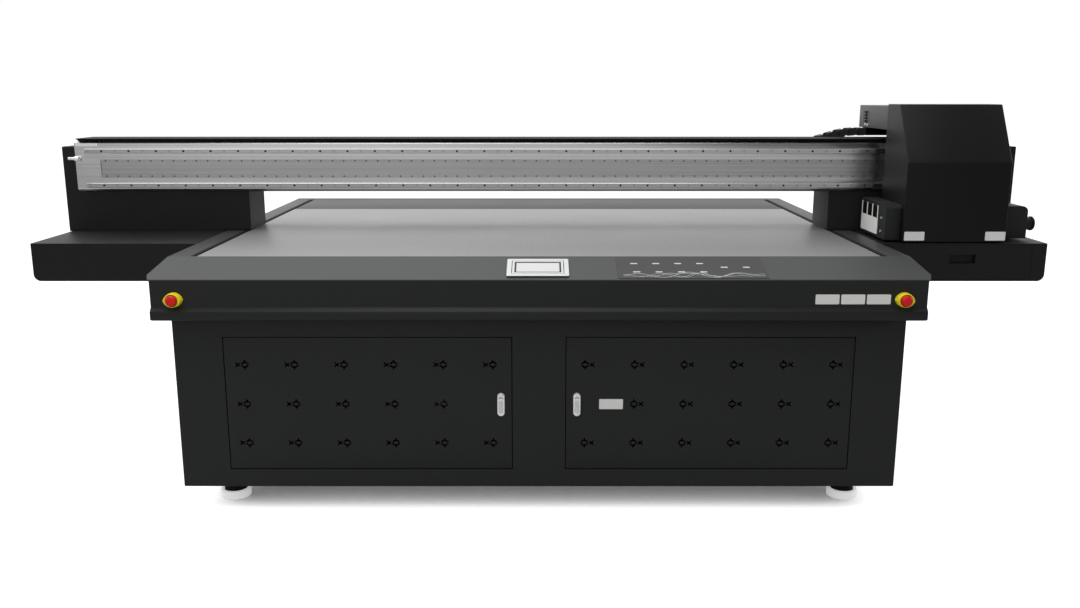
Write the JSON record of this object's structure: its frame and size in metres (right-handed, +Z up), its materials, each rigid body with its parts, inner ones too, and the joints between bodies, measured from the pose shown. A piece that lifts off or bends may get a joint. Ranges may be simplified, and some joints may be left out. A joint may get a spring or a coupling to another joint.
{
  "type": "flatbed uv printer",
  "caption": "Large flatbed UV printer: vacuum table on a steel cabinet, moving gantry, parked print carriage, sloped console.",
  "frame": {"origin": "on the floor, under the middle of the machine's box", "axes": "+Z up, front with console and doors faces -Y, +X to the operator's right"},
  "size_m": [4.208, 2.352, 1.525],
  "materials": {
    "black_covers": "satin powder coat, near black",
    "grey_covers": "satin powder coat, mid grey",
    "bed_plate": "hard anodised, fine matt",
    "alloy": "clear anodised",
    "rail_steel": "ground",
    "frame_steel": "matt primer",
    "magnet_plates": "dark plated",
    "handle_metal": "bright satin",
    "black_plastic": "fine texture",
    "stop_red": "semi gloss",
    "guard_yellow": "semi gloss",
    "foot_white": "matt",
    "enclosure_white": "light grey paint",
    "screen_bezel": "satin bezel round a pale glass",
    "key_overlay": "printed film"
  },
  "bodies": {
    "base": {"cabinet_shell": "black_covers", "console_panel": "grey_covers", "electrics_box": "enclosure_white", "estop_guard_left": "guard_yellow", "estop_guard_right": "guard_yellow", "foot_front_left": "foot_white", "foot_front_right": "foot_white", "foot_rear_left": "foot_white", "foot_rear_right": "foot_white", "front_apron": "black_covers", "key_panel": "key_overlay", "machine_frame": "frame_steel", "rear_apron": "black_covers", "rear_deck": "grey_covers", "side_band_left": "grey_covers", "side_band_right": "grey_covers", "touch_screen": "screen_bezel", "vacuum_bed": "bed_plate", "vacuum_blower": "alloy", "vacuum_plenum": "alloy", "y_magnet_left": "magnet_plates", "y_magnet_right": "magnet_plates", "y_rail_left": "rail_steel", "y_rail_right": "rail_steel"},
    "gantry": {"gantry_beam": "alloy", "x_rail_upper": "rail_steel", "x_rail_lower": "rail_steel", "x_magnet_track": "alloy", "chain_tray": "black_covers", "chain_lower": "black_plastic", "ink_tanks": "black_plastic", "gantry_leg_left": "alloy", "gantry_leg_right": "alloy", "y_truck_left": "rail_steel", "y_truck_right": "rail_steel", "leg_shield_left": "black_covers", "leg_shield_right": "black_covers", "wing_left": "black_covers", "wing_right": "black_covers", "end_buffer_left": "handle_metal", "end_buffer_right": "handle_metal"},
    "drawer": {"wing_drawer": "black_covers"},
    "capping": {"capping_station": "black_plastic"},
    "chain_bend": {"chain_loop": "black_plastic"},
    "carriage": {"carriage_plate": "alloy", "x_truck_upper": "rail_steel", "x_truck_lower": "rail_steel", "rear_arm": "grey_covers", "chain_upper": "black_plastic"},
    "head": {"head_frame": "alloy", "print_heads": "magnet_plates", "hood": "black_covers", "lamp_left": "black_covers", "lamp_right": "black_covers"},
    "door_left": {"door_left": "black_covers"},
    "door_right": {"door_right": "black_covers"},
    "handle_left": {"handle_left": "handle_metal"},
    "handle_right": {"handle_right": "handle_metal"},
    "stop_left": {"estop_button_left": "stop_red"},
    "stop_right": {"estop_button_right": "stop_red"}
  },
  "joints": [
    {"name": "gantry_travel", "type": "slide", "parent": "base", "child": "gantry", "axis": [0, 1, 0], "range_m": [-0.35, 0.95]},
    {"name": "carriage_travel", "type": "slide", "parent": "gantry", "child": "carriage", "axis": [1, 0, 0], "range_m": [-3.25, 0], "deforming": ["chain_upper"]},
    {"name": "head_lift", "type": "slide", "parent": "carriage", "child": "head", "axis": [0, 0, 1], "range_m": [0, 0.1]},
    {"name": "chain_travel", "type": "slide", "parent": "gantry", "child": "chain_bend", "axis": [1, 0, 0], "range_m": [-1.625, 0]},
    {"name": "drawer_slide", "type": "slide", "parent": "gantry", "child": "drawer", "axis": [0, -1, 0], "range_m": [0, 0.25]},
    {"name": "capping_lift", "type": "slide", "parent": "gantry", "child": "capping", "axis": [0, 0, 1], "range_m": [-0.015, 0]},
    {"name": "door_left_hinge", "type": "hinge", "parent": "base", "child": "door_left", "pos_m": [-1.166, -1.085, 0.4345], "axis": [0, 0, -1], "range_deg": [0, 110]},
    {"name": "door_right_hinge", "type": "hinge", "parent": "base", "child": "door_right", "pos_m": [1.166, -1.085, 0.4345], "axis": [0, 0, 1], "range_deg": [0, 110]},
    {"name": "handle_left_turn", "type": "hinge", "parent": "door_left", "child": "handle_left", "pos_m": [-0.1415, -1.085, 0.4345], "axis": [0, 1, 0], "range_deg": [0, 90]},
    {"name": "handle_right_turn", "type": "hinge", "parent": "door_right", "child": "handle_right", "pos_m": [0.1415, -1.085, 0.4345], "axis": [0, -1, 0], "range_deg": [0, 90]},
    {"name": "stop_left_press", "type": "slide", "parent": "base", "child": "stop_left", "axis": [0, 1, 0], "range_m": [0, 0.005]},
    {"name": "stop_right_press", "type": "slide", "parent": "base", "child": "stop_right", "axis": [0, 1, 0], "range_m": [0, 0.005]}
  ],
  "couplings": [
    {"joint": "chain_travel", "follows": "carriage_travel", "ratio": 0.5}
  ]
}
